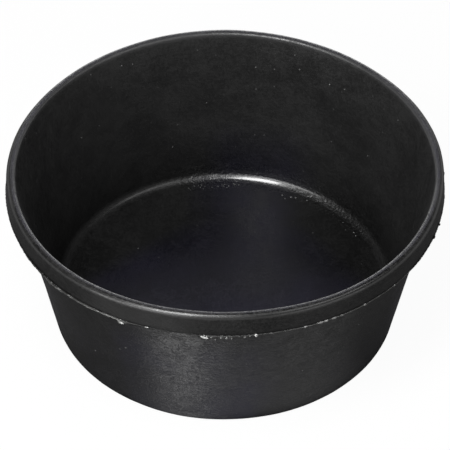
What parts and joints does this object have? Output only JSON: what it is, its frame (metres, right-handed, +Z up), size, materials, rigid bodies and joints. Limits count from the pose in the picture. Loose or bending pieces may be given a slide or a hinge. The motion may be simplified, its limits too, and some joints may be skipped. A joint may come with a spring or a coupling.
{
  "type": "feed tub",
  "caption": "Round open feed tub moulded in one piece of black rubber, with a flat base, a tapered wall and a thick rim band that overhangs the wall.",
  "frame": {"origin": "centre of the base face, on the surface that the tub stands on", "axes": "+Z up along the tub's axis, through the open mouth; -Y towards the camera of the picture, +X to its right"},
  "size_m": [0.254, 0.2548, 0.105],
  "materials": {
    "black_rubber": "satin, faintly mottled"
  },
  "bodies": {
    "root": {"tub_shell": "black_rubber", "mould_flash": "black_rubber"}
  },
  "joints": []
}
